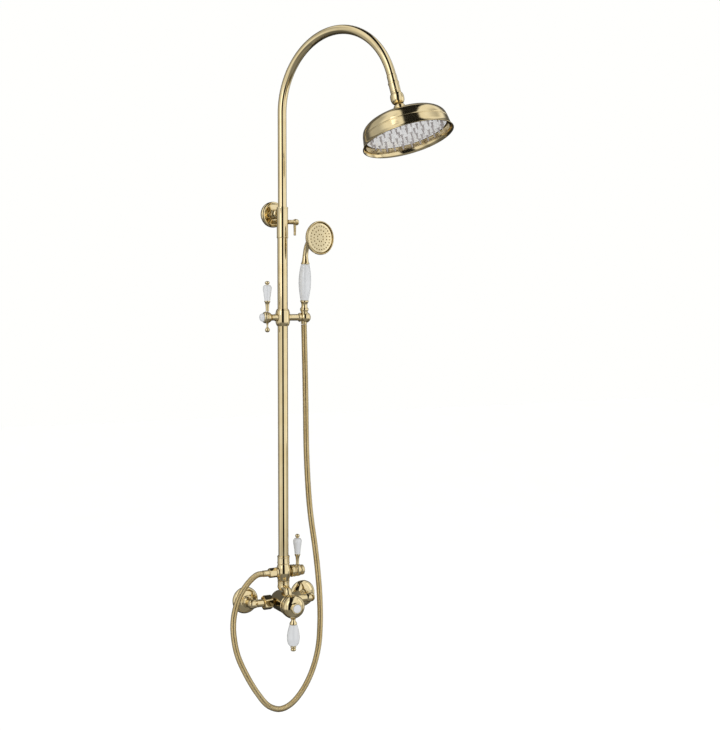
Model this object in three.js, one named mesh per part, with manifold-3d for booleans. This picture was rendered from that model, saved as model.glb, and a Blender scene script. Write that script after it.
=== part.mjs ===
// A wall-hung rainfall shower column: a thermostatic bar valve, a diverter, a telescoping riser with a
// gooseneck arm and a swivelling rose, and a hand shower on a sliding holder, with its hose.
// Millimetres, +Z up. The origin is on the wall plane, midway between the two inlets: +X points to the
// right and +Y into the wall.

import * as THREE from 'three';
import { mergeVertices } from 'three/addons/utils/BufferGeometryUtils.js';
import Module from 'manifold-3d';

const wasm = await Module();
wasm.setup();

// ---- Driving dimensions -------------------------------------------------------------------------

const GAP = 0.3; // clearance between two pieces that touch
const SIDES = 12; // facets round a turned piece
const WALL_REACH = 12; // threads and studs go this far into the wall

const INLET_X = 75; // half of the 150 mm between inlet centres
const PIPE_OUT = 47; // from the wall to the axis of the two inlet pipes
const RISER_OUT = 59; // from the wall to the axis of the riser

const VALVE_R = 24.5;
const VALVE_BACK = 33; // distances from the wall
const VALVE_FRONT = 97;
const HUB_OUT = 114; // centre of the temperature handle's hub
const HUB_R = 27.5;

const DIVERTER_Z = 72;
const LOWER_TUBE_R = 12;
const UPPER_TUBE_R = 10;
const BRACKET_Z = 916; // axis of the top wall bracket
const COLLAR_BOTTOM = 858;
const COLLAR_TOP = 930;
const LOCK_Z = 896;
const SLIDER_Z = 673;
const HOLDER_X = 58; // from the riser to the hand shower's holder

const ARM_TURN = 24.8; // degrees that the arm points to the right of straight out
const ARC_Z = 1146; // where the gooseneck starts to bend
const ARC_R = 161; // half the bend's width
const ARC_RISE = 170; // and its height
const ARC_END = 18; // degrees left at the bend's end
const SPOUT_TILT = 17.1; // the tube's slope there, from the vertical
const ROSE_DROP = 76.6; // from the end of the arc to the swivel ball's centre
const ROSE_TILT = 18.5; // degrees between the rose's axis and the vertical
const ROSE_R = 101;
const RIM_DROP = 72.6; // from the ball's centre to the rose's rim
const PLATE_DROP = 52; // and to its nozzle plate

const HOLDER_LEAN = 3; // degrees that the hand shower leans out
const HANDSET_TURN = 11.5; // degrees that it faces to the right
const HEAD_OUT = 34; // from the handle's axis to the back of the spray head
const HEAD_UP = 186; // from the holder's centre to the middle of the spray head
const HEAD_R = 39.2;

const HOSE_R = 7;
// The hose's route, from below the holder, round under the valve and up to the diverter's outlet.
const HOSE_ROUTE = [
  [55.3, -58, 656], [55.3, -59, 636], [55.5, -60, 607], [56.3, -61, 553], [57.3, -62, 477],
  [58, -63, 382], [59, -64, 334], [61, -65, 286], [64.5, -65, 238], [69.5, -66, 190],
  [78.5, -67, 128], [86, -67, 66], [90.5, -68, 3], [91.5, -68, -59], [86, -68, -121],
  [67, -68, -180], [38, -68, -225], [10, -68, -248], [-16, -68, -253.5], [-43.5, -67, -241.5],
  [-71, -67, -208], [-100, -66, -158], [-120.5, -65, -109.5], [-129.5, -65, -62], [-129.5, -64, -32],
  [-124, -63, -3], [-112, -62, 27], [-93, -61, 52.5], [-75, -60, 67.5], [-65, -59, 71.5], [-54, -59, 72],
];

// ---- Shape helpers ------------------------------------------------------------------------------

function signedVolume(geometry) {
  const position = geometry.getAttribute('position');
  const index = geometry.getIndex().array;
  const [a, b, c] = [new THREE.Vector3(), new THREE.Vector3(), new THREE.Vector3()];
  let volume = 0;
  for (let i = 0; i < index.length; i += 3) {
    a.fromBufferAttribute(position, index[i]);
    b.fromBufferAttribute(position, index[i + 1]);
    c.fromBufferAttribute(position, index[i + 2]);
    volume += a.dot(b.cross(c)) / 6;
  }
  return volume;
}

// Merges a geometry's shared points, drops its empty triangles and turns its faces outwards.
function solid(geometry) {
  geometry.deleteAttribute('normal');
  geometry.deleteAttribute('uv');
  const merged = mergeVertices(geometry, 1e-3);
  const index = merged.getIndex().array;
  const kept = [];
  for (let i = 0; i < index.length; i += 3) {
    const [a, b, c] = [index[i], index[i + 1], index[i + 2]];
    if (a !== b && b !== c && c !== a) kept.push(a, b, c);
  }
  merged.setIndex(kept);
  if (signedVolume(merged) < 0) merged.setIndex(kept.reverse());
  return merged;
}

// Turns [radius, height] points about the Z axis. The outline starts and ends on the axis.
function turned(outline, sides = SIDES) {
  const points = outline.map(([radius, height]) => new THREE.Vector2(radius, height));
  return solid(new THREE.LatheGeometry(points, sides).rotateX(Math.PI / 2));
}

// Turns an outline that closes on itself, for a piece with a hole right through.
function turnedRing(outline, sides = SIDES) {
  return turned([...outline, outline[0]], sides);
}

function cylinder(radius, from, to, sides = SIDES) {
  return turned([[0, from], [radius, from], [radius, to], [0, to]], sides);
}

const alongX = (geometry) => geometry.rotateY(Math.PI / 2);
const fromWall = (geometry) => geometry.rotateX(Math.PI / 2);

// The corner radius of a bore whose flats clear a shaft by the gap.
const around = (radius, sides = SIDES) => (radius + GAP) / Math.cos(Math.PI / sides);

function circle(radius, sides) {
  const corner = (_, i) => {
    const angle = (2 * Math.PI * i) / sides;
    return new THREE.Vector2(radius * Math.cos(angle), radius * Math.sin(angle));
  };
  return Array.from({ length: sides }, corner);
}

// A round bar along a curve, or a pipe where a bore is given.
function swept(curve, radius, { bore = 0, sides = 12, steps = 12 } = {}) {
  const section = new THREE.Shape(circle(radius, sides));
  if (bore) section.holes.push(new THREE.Path(circle(bore, sides)));
  return solid(new THREE.ExtrudeGeometry(section, { steps, bevelEnabled: false, extrudePath: curve }));
}

// A hexagonal nut along Z with a round bore.
function hexagon(flats, from, to, bore) {
  const section = new THREE.Shape(circle(flats / Math.sqrt(3), 6));
  section.holes.push(new THREE.Path(circle(bore, SIDES)));
  const bar = new THREE.ExtrudeGeometry(section, { depth: to - from, bevelEnabled: false });
  return solid(bar.translate(0, 0, from));
}

function asManifold(geometry) {
  return new wasm.Manifold(new wasm.Mesh({
    numProp: 3,
    vertProperties: new Float32Array(geometry.getAttribute('position').array),
    triVerts: new Uint32Array(geometry.getIndex().array),
  }));
}

function asGeometry(manifold) {
  const { vertProperties, triVerts } = manifold.getMesh();
  const geometry = new THREE.BufferGeometry();
  geometry.setAttribute('position', new THREE.BufferAttribute(vertProperties, 3));
  geometry.setIndex(new THREE.BufferAttribute(triVerts, 1));
  return geometry;
}

const joined = (...pieces) => asGeometry(pieces.map(asManifold).reduce((a, b) => a.add(b)));
const cut = (piece, ...tools) =>
  asGeometry(tools.map(asManifold).reduce((a, b) => a.subtract(b), asManifold(piece)));

// ---- Materials ----------------------------------------------------------------------------------

const finish = (color, roughness, metalness) => () =>
  new THREE.MeshStandardMaterial({ color, roughness, metalness, flatShading: true });
const polishedGold = finish(0xd8b86a, 0.12, 1);
const brass = finish(0xb08d4c, 0.35, 1);
const porcelain = finish(0xf2f2f0, 0.1, 0);
const nylon = finish(0xe8e6df, 0.5, 0);
const silicone = finish(0xcfd2d4, 0.45, 0);
const rubber = finish(0x1f1f1f, 0.8, 0);

// Adds a named piece to a group, at a place within it.
function add(parent, name, geometry, material, place = [0, 0, 0]) {
  const mesh = new THREE.Mesh(geometry, material());
  mesh.name = name;
  mesh.position.set(...place);
  parent.add(mesh);
  return mesh;
}

function subgroup(parent, place, turns = [0, 0, 0]) {
  const inner = new THREE.Group();
  inner.position.set(...place);
  inner.rotation.set(...turns.map(THREE.MathUtils.degToRad));
  parent.add(inner);
  return inner;
}

// ---- Inlets: wall flange, elbow and union, once for each side ------------------------------------

const INLET_NECK_R = 10.2;
const INLET_PIPE_R = 9.1;
const PIPE_END_X = 41; // the elbow's pipe ends here, and the union's tail begins

function addInlet(column, side, sign) {
  const flange = turnedRing([
    [around(INLET_NECK_R), 0], [31.5, 0], [31.8, 3], [31, 6.5], [28.4, 10], [24, 13], [18, 15.3],
    [12.6, 16.5], [around(INLET_NECK_R), 16.5],
  ]);
  add(column, `${side}_wall_flange`, fromWall(flange), polishedGold, [sign * INLET_X, 0, 0]);

  const neck = fromWall(turned([
    [0, -WALL_REACH], [INLET_NECK_R, -WALL_REACH], [INLET_NECK_R, 17], [14, 17], [14, 22], [12, 23.5],
    [12, 26], [10.4, 28], [10.4, PIPE_OUT], [0, PIPE_OUT],
  ])).translate(sign * INLET_X, 0, 0);
  const pipe = alongX(turned([
    [0, PIPE_END_X], [12.2, PIPE_END_X], [12.2, PIPE_END_X + 1.7], [INLET_PIPE_R, PIPE_END_X + 1.7],
    [INLET_PIPE_R, 66], [10.6, 70], [10.9, 77], [8.6, 83], [4.5, 85.6], [0, 86],
  ])).scale(sign, 1, 1).translate(0, -PIPE_OUT, 0);
  add(column, `${side}_elbow`, joined(neck, solid(pipe)), polishedGold);

  const nutShell = solid(alongX(hexagon(31, 27.3, 47.3, around(INLET_PIPE_R))).scale(sign, 1, 1));
  const nutThread = solid(alongX(cylinder(around(12.2), 27, 43.3)).scale(sign, 1, 1));
  add(column, `${side}_union_nut`, cut(nutShell, nutThread), polishedGold, [0, -PIPE_OUT, 0]);

  const tail = alongX(turned([
    [0, 18.3], [9, 18.3], [9, 31], [12.2, 31], [12.2, PIPE_END_X - GAP], [0, PIPE_END_X - GAP],
  ])).scale(sign, 1, 1);
  add(column, `${side}_union_tail`, solid(tail), brass, [0, -PIPE_OUT, 0]);
}

// ---- Thermostatic valve -------------------------------------------------------------------------

const CARTRIDGE_R = 15.2;
const NECK_TUBE_R = 9.2;
const NECK_ENTRY = 87; // the swan neck comes down into the valve this far from the wall

function swanNeckCurve() {
  return new THREE.CatmullRomCurve3([
    new THREE.Vector3(0, -RISER_OUT, 40), new THREE.Vector3(0, -RISER_OUT - 4, 36),
    new THREE.Vector3(0, -RISER_OUT - 14, 33), new THREE.Vector3(0, -NECK_ENTRY + 4, 30),
    new THREE.Vector3(0, -NECK_ENTRY, 19),
  ]);
}

function addValve(column) {
  const barrel = fromWall(turned([
    [0, VALVE_BACK + 4], [VALVE_R, VALVE_BACK + 4], [VALVE_R, VALVE_FRONT],
    [CARTRIDGE_R + 0.8, VALVE_FRONT], [CARTRIDGE_R + 0.8, 50], [0, 50],
  ], 20));
  const sockets = [-1, 1].map((sign) => solid(
    alongX(cylinder(around(9), 17.9, 30)).scale(sign, 1, 1).translate(0, -PIPE_OUT, 0)));
  const neckSocket = swept(swanNeckCurve(), around(NECK_TUBE_R, 12));
  add(column, 'valve_body', cut(barrel, ...sockets, neckSocket), polishedGold);

  const rearCap = turned([[0, VALVE_BACK - 2], [20, VALVE_BACK - 2], [23.5, VALVE_BACK + 0.5],
    [23.5, VALVE_BACK + 4 - GAP], [0, VALVE_BACK + 4 - GAP]]);
  add(column, 'valve_rear_cap', fromWall(rearCap), polishedGold);

  const cartridge = turned([[0, 51], [12, 51], [12, 62], [CARTRIDGE_R, 64], [CARTRIDGE_R, 84], [12, 86],
    [12, 94], [5, 95], [5, 112], [0, 112]]);
  add(column, 'thermostatic_cartridge', fromWall(cartridge), brass);

  const ring = turnedRing([[14, VALVE_FRONT + GAP], [25.6, VALVE_FRONT + GAP], [26.2, VALVE_FRONT + 1.5],
    [25.6, VALVE_FRONT + 2.7], [14, VALVE_FRONT + 2.7]]);
  add(column, 'valve_stop_ring', fromWall(ring), polishedGold);

  const collar = turned([[0, 27.5], [7.5, 28], [12, 30.5], [14.3, 34.5], [14.3, 50.6], [around(11), 50.6],
    [around(11), 45.6], [0, 45.6]]).translate(0, -RISER_OUT, 0);
  const neck = swept(swanNeckCurve(), NECK_TUBE_R);
  add(column, 'swan_neck', joined(collar, neck), polishedGold);
}

// The temperature handle turns about the valve's axis, and its lever hangs down from the hub.
function addTemperatureHandle(column) {
  const hub = subgroup(column, [0, -HUB_OUT, 0]);
  const back = VALVE_FRONT + 3.2 - HUB_OUT;
  const dome = turnedRing([
    [5.8, back], [24, back], [26.5, -9], [HUB_R, 0], [26.3, 6.5], [22.5, 12.2], [16, 16.4],
    [13.2, 17.6], [13.2, 22.4], [10.2, 22.8], [10.2, 14], [5.8, 14],
  ], 20);
  add(hub, 'temperature_hub', fromWall(dome), polishedGold);
  add(hub, 'index_button', fromWall(cylinder(9.7, 19.4, 24.2)), porcelain);
  const screw = turned([[0, -1], [2.5, -1], [2.5, 14.4], [4.6, 14.4], [4.6, 18.4], [0, 18.4]]);
  add(hub, 'handle_screw', fromWall(screw), brass);
  addDroppingLever(hub);
}

function addDroppingLever(hub) {
  const ferrule = turned([
    [0, -41.6], [8.9, -41.6], [8.9, -39.6], [7.4, -36], [4.6, -31.5], [4.2, -30], [6.2, -28.9],
    [6.2, -27.9], [0, -27.9],
  ]);
  add(hub, 'temperature_lever_ferrule', ferrule, polishedGold);
  const handle = turned([
    [0, -91.6], [9.2, -91.6], [12.6, -86], [14.6, -77], [14.8, -70], [13.2, -58], [10.6, -47],
    [8.6, -42], [0, -42],
  ]);
  add(hub, 'temperature_lever_handle', handle, porcelain);
  const finial = turned([
    [0, -105], [4.2, -105], [6.4, -102], [5.6, -98.6], [4.6, -97.6], [6.6, -96], [6.6, -93.4],
    [5.4, -92], [0, -92],
  ]);
  add(hub, 'temperature_lever_finial', finial, polishedGold);
}

// ---- Diverter -----------------------------------------------------------------------------------

function addDiverter(column) {
  const place = [0, -RISER_OUT, DIVERTER_Z];
  const barrel = turned([
    [0, -26], [11, -26], [11, -20.8], [13.6, -20.6], [14.6, -16], [17, -8], [17.6, 0], [17, 8], [14.8, 16],
    [13.4, 19.4], [LOWER_TUBE_R, 19.4], [LOWER_TUBE_R, 26], [0, 26],
  ]);
  const outlet = alongX(turned([[0, -34.4], [8.7, -34.4], [8.7, -20], [11.6, -20], [11.6, -15], [0, -15]]));
  const waterway = cylinder(8, -27, 27);
  const chamber = alongX(cylinder(around(9.4), -6, 18));
  const outletBore = alongX(cylinder(6, -35, 0));
  const body = cut(joined(barrel, outlet), waterway, chamber, outletBore);
  add(column, 'diverter_body', body, polishedGold, place);

  const coupling = turnedRing([
    [around(LOWER_TUBE_R), 19.7], [14.8, 19.7], [14.8, 21.5], [14.4, 22.5], [14.4, 34.5], [14.8, 35.5],
    [14.8, 38], [around(LOWER_TUBE_R), 38],
  ]);
  add(column, 'riser_coupling', coupling, polishedGold, place);

  const cartridge = turned([
    [0, -5], [7.4, -5], [7.4, 0], [9.4, 1.5], [9.4, 17], [4, 17.5], [4, 36], [0, 36],
  ]);
  add(column, 'diverter_cartridge', alongX(cartridge), brass, place);

  const bonnet = turnedRing([
    [9.9, 17.9], [13, 17.9], [14.8, 19.5], [14.8, 22], [13.4, 23], [13.4, 25], [14.6, 26], [14.6, 28.4],
    [12.5, 29.6], [4.7, 29.6], [4.7, 26], [9.9, 26],
  ]);
  add(column, 'diverter_bonnet', alongX(bonnet), polishedGold, place);
}

// The diverter's knob turns about X, and its lever stands up from it.
function addDiverterHandle(column) {
  const knob = subgroup(column, [0, -RISER_OUT, DIVERTER_Z]);
  const body = turnedRing([
    [4.7, 30], [11, 30], [13.4, 32], [14.2, 36.4], [13.4, 41], [11.6, 43.4], [4.7, 43.4],
  ]);
  add(knob, 'diverter_knob', alongX(body), polishedGold);
  const cap = turned([[0, 43.7], [11.4, 43.7], [12.2, 45], [12.2, 48.6], [10.6, 51], [6, 52], [0, 52.3]]);
  add(knob, 'diverter_knob_cap', alongX(cap), polishedGold);
  addRisingLever(knob, 'diverter_lever', 36.4, 13.9, [38.4, 77, 87]);
}

// A lever that stands up beside its knob: a flared stem, a porcelain handle and a ball on top.
function addRisingLever(knob, name, x, knobTop, [stemTop, handleTop, finialTop]) {
  const root = knobTop + GAP;
  const lever = subgroup(knob, [x, 0, 0]);
  const stem = turned([[0, root], [4.4, root], [3.7, root + 3], [4.4, stemTop - 12], [5.6, stemTop - 4],
    [7, stemTop - 1.6], [7, stemTop], [0, stemTop]]);
  add(lever, `${name}_stem`, stem, polishedGold);
  const bottom = stemTop + GAP;
  const height = handleTop - bottom;
  const handle = turned([
    [0, bottom], [6.6, bottom], [7.6, bottom + 0.3 * height], [9.6, bottom + 0.68 * height],
    [10.2, bottom + 0.8 * height], [8.8, bottom + 0.92 * height], [5, handleTop], [0, handleTop],
  ]);
  add(lever, `${name}_handle`, handle, porcelain);
  const middle = (handleTop + finialTop) / 2;
  const finial = turned([[0, handleTop + GAP], [3.4, handleTop + GAP], [3, middle - 3.6], [5.4, middle],
    [4.6, middle + 3.2], [2, finialTop - 0.4], [0, finialTop]]);
  add(lever, `${name}_finial`, finial, polishedGold);
}

// ---- Riser and its wall bracket -----------------------------------------------------------------

const SCREW_HOLE_R = 3.8;

function addLowerRiser(column) {
  const axis = [0, -RISER_OUT, 0];
  const foot = DIVERTER_Z + 26 + GAP;
  const top = COLLAR_TOP - 26;
  const tube = turnedRing([[11.1, foot], [LOWER_TUBE_R, foot], [LOWER_TUBE_R, top], [11.1, top]]);
  add(column, 'lower_riser_tube', tube, polishedGold, axis);

  const sleeve = cylinder(13.4, COLLAR_BOTTOM, COLLAR_TOP).translate(0, -RISER_OUT, 0);
  const arm = fromWall(turned([
    [0, 20], [4.5, 20], [4.5, 11], [9.5, 11], [9.5, 13.5], [11.6, 14], [11.6, 20], [10, 20.5], [10, 23],
    [10.8, 24], [10.8, 33], [8.6, 35], [8.6, RISER_OUT], [0, RISER_OUT],
  ])).translate(0, 0, BRACKET_Z);
  const bore = turned([
    [0, COLLAR_BOTTOM - 1], [around(LOWER_TUBE_R), COLLAR_BOTTOM - 1],
    [around(LOWER_TUBE_R), COLLAR_TOP - 3.4], [10.9, COLLAR_TOP - 3.4],
    [10.9, COLLAR_TOP + 1], [0, COLLAR_TOP + 1],
  ]).translate(0, -RISER_OUT, 0);
  const screwHole = alongX(cylinder(SCREW_HOLE_R, 5, 20)).translate(0, -RISER_OUT, LOCK_Z);
  add(column, 'riser_bracket', cut(joined(sleeve, arm), bore, screwHole), polishedGold);

  const flange = turnedRing([[around(4), 0], [29.8, 0], [30.5, 1.6], [30.5, 6.4], [28.6, 9], [24, 10.4],
    [around(4), 10.7]]);
  add(column, 'bracket_wall_flange', fromWall(flange), polishedGold, [0, 0, BRACKET_Z]);
  add(column, 'bracket_stud', fromWall(cylinder(4, -WALL_REACH, 19.4)), brass, [0, 0, BRACKET_Z]);
}

function addLockScrew(column) {
  const screw = alongX(turned([
    [0, 12.7], [3.1, 12.7], [3.1, 14], [5.2, 14.4], [5.2, 27], [4.6, 27.6], [4.6, 28.6],
    [7, 29.4], [7.5, 33.5], [7, 38], [5, 40.6], [0, 41],
  ]));
  const pin = turned([[0, -31], [2.9, -31], [3, -18], [3.4, -4], [0, -4]]).translate(31.8, 0, 0);
  add(column, 'lock_screw', joined(screw, pin), polishedGold, [0, -RISER_OUT, LOCK_Z]);
}

// ---- Gooseneck arm and swivel -------------------------------------------------------------------

const BUSH_BOTTOM = COLLAR_TOP - 25.6;
const BUSH_TOP = COLLAR_TOP - 3.8;
const TUBE_INSERTION = 245; // length of the upper tube inside the lower one

function gooseneckPath() {
  const start = new THREE.Vector3(0, 0, COLLAR_TOP - TUBE_INSERTION);
  const bend = new THREE.Vector3(0, 0, ARC_Z);
  const path = new THREE.CurvePath();
  path.add(new THREE.LineCurve3(start, bend));
  const sweep = THREE.MathUtils.degToRad(180 - ARC_END);
  const arc = new THREE.Curve();
  arc.getPoint = (t) => {
    const angle = Math.PI - sweep * t;
    return new THREE.Vector3(0, -ARC_R - ARC_R * Math.cos(angle), ARC_Z + ARC_RISE * Math.sin(angle));
  };
  path.add(arc);
  return path;
}

function addGooseneck(column) {
  const riser = subgroup(column, [0, -RISER_OUT, 0], [0, 0, ARM_TURN]);
  const bush = turnedRing([[around(UPPER_TUBE_R), BUSH_BOTTOM], [11.9, BUSH_BOTTOM], [11.9, BUSH_TOP],
    [around(UPPER_TUBE_R), BUSH_TOP]], 24);
  add(riser, 'riser_bush', bush, nylon);
  const tube = swept(gooseneckPath(), UPPER_TUBE_R, { bore: 8.8, sides: 12, steps: 30 });
  add(riser, 'gooseneck_tube', tube, polishedGold);

  const end = THREE.MathUtils.degToRad(ARC_END);
  const tip = [0, -ARC_R - ARC_R * Math.cos(end), ARC_Z + ARC_RISE * Math.sin(end)];
  const spout = subgroup(riser, tip, [-SPOUT_TILT, 0, 0]);
  addSpoutEnd(spout);
  const ball = subgroup(spout, [0, 0, -ROSE_DROP], [SPOUT_TILT - ROSE_TILT, 0, 0]);
  addRose(ball);
}

// The fittings below the arc's end, with the spout's axis along Z and its end at the origin.
function addSpoutEnd(spout) {
  const sleeve = turned([
    [0, -43.5], [10.4, -43.5], [11.5, -42.5], [11.5, -21], [12.1, -20.4], [12.1, -17.4], [10.2, -16.6],
    [10, -GAP], [0, -GAP],
  ]);
  add(spout, 'arm_end_sleeve', sleeve, polishedGold);
  const nut = turnedRing([
    [around(5), -66], [10.5, -66], [14.2, -61], [15.1, -54], [14.6, -46.5], [12.5, -43.8],
    [around(5), -43.8],
  ]);
  add(spout, 'swivel_nut', nut, polishedGold);
  const ball = turned([
    [0, -10], [5, -8.66], [8.66, -5], [10, 0], [8.66, 5], [5, 8.66], [5, 32.2], [0, 32.2],
  ]);
  add(spout, 'swivel_ball', ball, brass, [0, 0, -ROSE_DROP]);
}

// The rose hangs from the ball, whose centre is its origin, and faces down.
function addRose(ball) {
  const seat = turnedRing([
    [8.9, 5.6], [10.4, 5.6], [11.3, 2.5], [11.3, -2.5], [10.4, -4.6], [9.3, -4.6], [10.35, -2.2], [10.5, 0],
    [10.35, 2.2],
  ]);
  add(ball, 'ball_seat', seat, nylon);
  const shell = turnedRing([
    [9.7, 6.8], [11.4, 6.6], [13.4, 0], [13.6, -3], [16, -6], [24, -10], [42, -15], [60, -18], [74, -22],
    [84, -27.5], [90.5, -34.5], [93.6, -43], [94.8, -50], [97.8, -68], [ROSE_R, -71.2], [ROSE_R, -RIM_DROP],
    [98.6, -RIM_DROP], [95.8, -68.4], [92.8, -50], [91.2, -43.6], [88.2, -36.6], [82.2, -30.2], [73, -24.8],
    [59.6, -20.7], [42, -17.7], [18, -12.6], [10.4, -10.8], [10.4, -5.2], [11.7, -4.9], [11.7, 4.2],
  ], BELL_SIDES);
  add(ball, 'rose_bell', shell, polishedGold);

  const gasket = turnedRing([[86.6, -48.4], [90.4, -48.4], [90.4, -50.4], [86.6, -50.4]], BELL_SIDES);
  add(ball, 'rose_gasket', gasket, rubber);
  add(ball, 'rose_nozzle_plate', nozzlePlate(), silicone);
}

const BELL_SIDES = 24;
const NOZZLE_RINGS = [[16, 6], [32, 12], [48, 18], [64, 22], [78, 26]]; // radius and number of nozzles

function nozzlePlate() {
  const plate = cylinder(90.4, -PLATE_DROP - 1.2, -PLATE_DROP + 1.2, BELL_SIDES);
  const nozzles = NOZZLE_RINGS.flatMap(([radius, count]) => Array.from({ length: count }, (_, i) => {
    const angle = (2 * Math.PI * i) / count;
    const nozzle = turned([[0, -PLATE_DROP - 14], [2.8, -PLATE_DROP], [0, -PLATE_DROP]], 4);
    return nozzle.translate(radius * Math.cos(angle), radius * Math.sin(angle), 0);
  }));
  return joined(plate, ...nozzles);
}

// ---- Slider, clamp lever and holder -------------------------------------------------------------

function addSlider(column) {
  const slider = subgroup(column, [0, -RISER_OUT, SLIDER_Z]);
  const bush = turnedRing([
    [around(LOWER_TUBE_R), -15], [13.7, -15], [13.7, 15], [around(LOWER_TUBE_R), 15],
  ]);
  add(slider, 'slider_bush', bush, nylon);

  const barrel = turned([
    [0, -20.2], [13.6, -20.2], [15.6, -16.5], [17, -10], [17.3, 0], [17, 10], [15.6, 16.5],
    [13.6, 20.2], [0, 20.2],
  ]);
  const bar = alongX(turned([
    [0, -28.6], [7.4, -28.6], [7.4, -20], [8.6, -19], [8.6, -13], [0, -13],
  ]));
  const boss = alongX(turned([[0, 13], [7.6, 13], [7.6, 39.5], [10.4, 42.2], [10.6, 44.3], [0, 44.3]]));
  const bore = turned([[0, -21], [12.65, -21], [12.65, -15.6], [14.3, -15.6], [14.3, 15.6], [12.65, 15.6],
    [12.65, 21], [0, 21]]);
  const spindleBore = alongX(cylinder(around(3.4), -30, -10));
  add(slider, 'slider_body', cut(joined(barrel, bar, boss), bore, spindleBore), polishedGold);

  addClamp(slider);
  addHolder(slider);
}

function addClamp(slider) {
  const wheel = alongX(turned([
    [0, -49], [9.2, -49], [12.6, -47], [13.6, -43.5], [12.4, -41.6], [13.4, -40], [12.2, -35], [9, -31],
    [8, -29], [3.4, -29], [3.4, -14.9], [0, -14.9],
  ]));
  const counterweight = turned([
    [0, -34.6], [3, -34], [5.5, -31.4], [5.5, -27], [3.4, -24.4], [1.9, -22.6], [1.9, -18], [3, -12],
    [3, -9], [0, -9],
  ]).translate(-39, 0, 0);
  add(slider, 'clamp_hub', joined(wheel, counterweight), polishedGold);
  const cap = turned([[0, -58], [5, -57.4], [8, -55.4], [9.5, -52], [9.5, -49.3], [0, -49.3]]);
  add(slider, 'clamp_cap', alongX(cap), porcelain);
  addRisingLever(slider, 'clamp_lever', -39, 13.6, [38.6, 75.8, 85]);
}

const BALL_R = 13.3;
const SEAT_X = -2.7; // the hand shower's axis, from the ball's centre

function addHolder(slider) {
  const holder = subgroup(slider, [HOLDER_X, 0, 0], [HOLDER_LEAN, 0, 0]);
  const arc = [-80, -60, -40, -20, 0, 20, 40, 60, 80].map(THREE.MathUtils.degToRad);
  const rounding = arc.map((a) => [BALL_R * Math.cos(a), BALL_R * Math.sin(a)]);
  const sphere = turned([[0, -BALL_R], ...rounding, [0, BALL_R]]);
  const neck = alongX(cylinder(7.5, -12.9, -6));
  const socket = turned([
    [0, -BALL_R - 1], [7.9, -BALL_R - 1], [7.9, -8], [9.8, BALL_R + 1], [0, BALL_R + 1],
  ]).translate(SEAT_X, 0, 0);
  add(holder, 'holder_ball', cut(joined(sphere, neck), socket), polishedGold);
  addHandset(subgroup(holder, [SEAT_X, 0, 0], [0, 0, HANDSET_TURN]));
}

// ---- Hand shower --------------------------------------------------------------------------------

const CONE_TOP = 10.6; // height of the cone nut's shoulder above the holder's centre

function addHandset(handset) {
  const coneNut = turned([[0, -5.6], [7.2, -5.6], [7.2, -4], [8.6, CONE_TOP], [0, CONE_TOP]]);
  add(handset, 'hose_cone_nut', coneNut, polishedGold);
  add(handset, 'hose_upper_ferrule', cylinder(7.1, -16.2, -5.9), polishedGold);

  const base = turned([
    [0, CONE_TOP + GAP], [8.6, CONE_TOP + GAP], [8.2, 14.5], [9.9, 17.5], [9.9, 20.5], [7.8, 23.5],
    [7.2, 28],
    [8, 33], [9.9, 37.5], [9.9, 40], [0, 40],
  ]);
  add(handset, 'handset_base', base, polishedGold);
  const handle = turned([
    [0, 40.3], [9.4, 40.3], [11.6, 52], [13.6, 68], [14.5, 84], [13.9, 102], [12, 116], [9.8, 125], [0, 125],
  ]);
  add(handset, 'handset_handle', handle, porcelain);

  const ferrule = turned([[0, 125.3], [10.2, 125.3], [10.2, 127.6], [7.8, 135], [6.9, 145.5], [0, 146]]);
  const neckCurve = new THREE.QuadraticBezierCurve3(
    new THREE.Vector3(0, 0, 142), new THREE.Vector3(0, -2, HEAD_UP - 1),
    new THREE.Vector3(0, -HEAD_OUT - 2, HEAD_UP));
  const neck = swept(neckCurve, 6.4, { steps: 8 });
  const bowl = headFacing(turned([
    [0, 0], [8, 0], [17.6, 2], [28, 6.5], [35.6, 12.5], [38.6, 18], [HEAD_R, 22], [38.4, 24.4], [36.6, 24.8],
    [36.1, 23], [36.1, 18], [33.6, 14.4], [26.4, 9], [17, 5], [0, 4],
  ], 20));
  add(handset, 'handset_head', joined(ferrule, neck, bowl), polishedGold);
  const face = turned([[0, 19.4], [35.2, 19.4], [35.4, 21.4], [34.2, 22.6], [0, 23.6]], 20);
  add(handset, 'handset_face', headFacing(face), polishedGold);
}

// Turns a piece made along Z so that it faces level out from the top of the leaning handle.
function headFacing(geometry) {
  const lean = THREE.MathUtils.degToRad(HOLDER_LEAN);
  return fromWall(geometry).rotateX(-lean).translate(0, -HEAD_OUT, HEAD_UP);
}

// ---- Hose ---------------------------------------------------------------------------------------

function addHose(column) {
  const outlet = [0, -RISER_OUT, DIVERTER_Z];
  const nut = alongX(hexagon(21, -38.4, -20.4, around(8.7)));
  const shoulder = alongX(turnedRing([
    [around(7.7), -38.4], [around(8.7) + 0.6, -38.4], [around(8.7) + 0.6, -37], [around(7.7), -37],
  ]));
  add(column, 'hose_nut', joined(nut, shoulder), polishedGold, outlet);
  const ferrule = turned([[0, -53.4], [7.7, -53.4], [7.7, -36.7], [8.6, -36.7], [8.6, -34.7], [0, -34.7]]);
  add(column, 'hose_lower_ferrule', alongX(ferrule), polishedGold, outlet);

  const route = new THREE.CatmullRomCurve3(HOSE_ROUTE.map((point) => new THREE.Vector3(...point)));
  add(column, 'shower_hose', swept(route, HOSE_R, { sides: 8, steps: 48 }), brass);
}

// ---- Assembly -----------------------------------------------------------------------------------

const column = new THREE.Group();
addInlet(column, 'left', -1);
addInlet(column, 'right', 1);
addValve(column);
addTemperatureHandle(column);
addDiverter(column);
addDiverterHandle(column);
addLowerRiser(column);
addLockScrew(column);
addGooseneck(column);
addSlider(column);
addHose(column);

export default column;
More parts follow.
